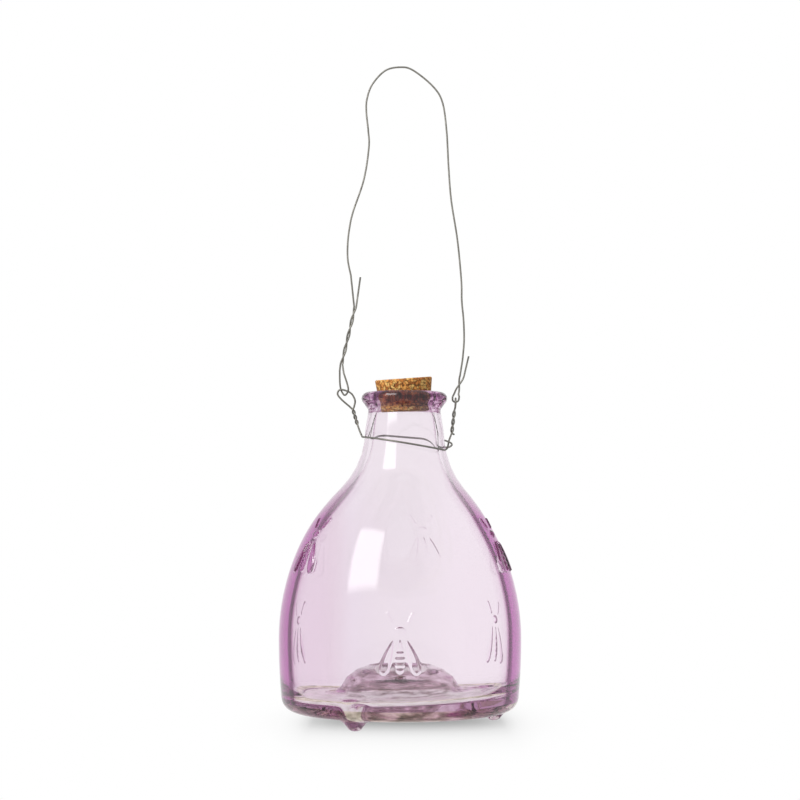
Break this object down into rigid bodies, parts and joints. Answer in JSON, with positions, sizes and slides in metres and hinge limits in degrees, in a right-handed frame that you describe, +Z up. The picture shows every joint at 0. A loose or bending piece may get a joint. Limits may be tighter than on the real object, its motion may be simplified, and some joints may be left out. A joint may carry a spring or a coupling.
{
  "type": "glass fly trap",
  "caption": "Bell-shaped glass insect trap on small feet with an entry funnel in the base, a cork in the mouth and a twisted wire hanger linked to a wire round the neck.",
  "frame": {"origin": "on the jar's axis, in the plane of the feet's pads", "axes": "+Z up along the jar's axis, -Y the front with the lower bee in the middle, +X to the right of the front"},
  "size_m": [0.12, 0.1209, 0.3279],
  "materials": {
    "glass": "polished, pale violet",
    "cork": "ground and pressed cork, matt",
    "wire": "dull galvanised"
  },
  "bodies": {
    "jar": {"glass_jar": "glass"},
    "cork": {"cork_stopper": "cork"},
    "collar": {"neck_wire": "wire"},
    "hanger": {"hanger_wire": "wire"}
  },
  "joints": [
    {"name": "cork_pull", "type": "slide", "parent": "jar", "child": "cork", "axis": [0, 0, 1], "range_m": [0, 0.03]},
    {"name": "collar_turn", "type": "hinge", "parent": "jar", "child": "collar", "pos_m": [0, 0, 0.1365], "axis": [0, 0, 1], "continuous": true},
    {"name": "hanger_swing", "type": "hinge", "parent": "collar", "child": "hanger", "pos_m": [-0.0299, 0, 0.16347], "axis": [0.9945, 0, -0.1046], "range_deg": [-90, 90]}
  ]
}
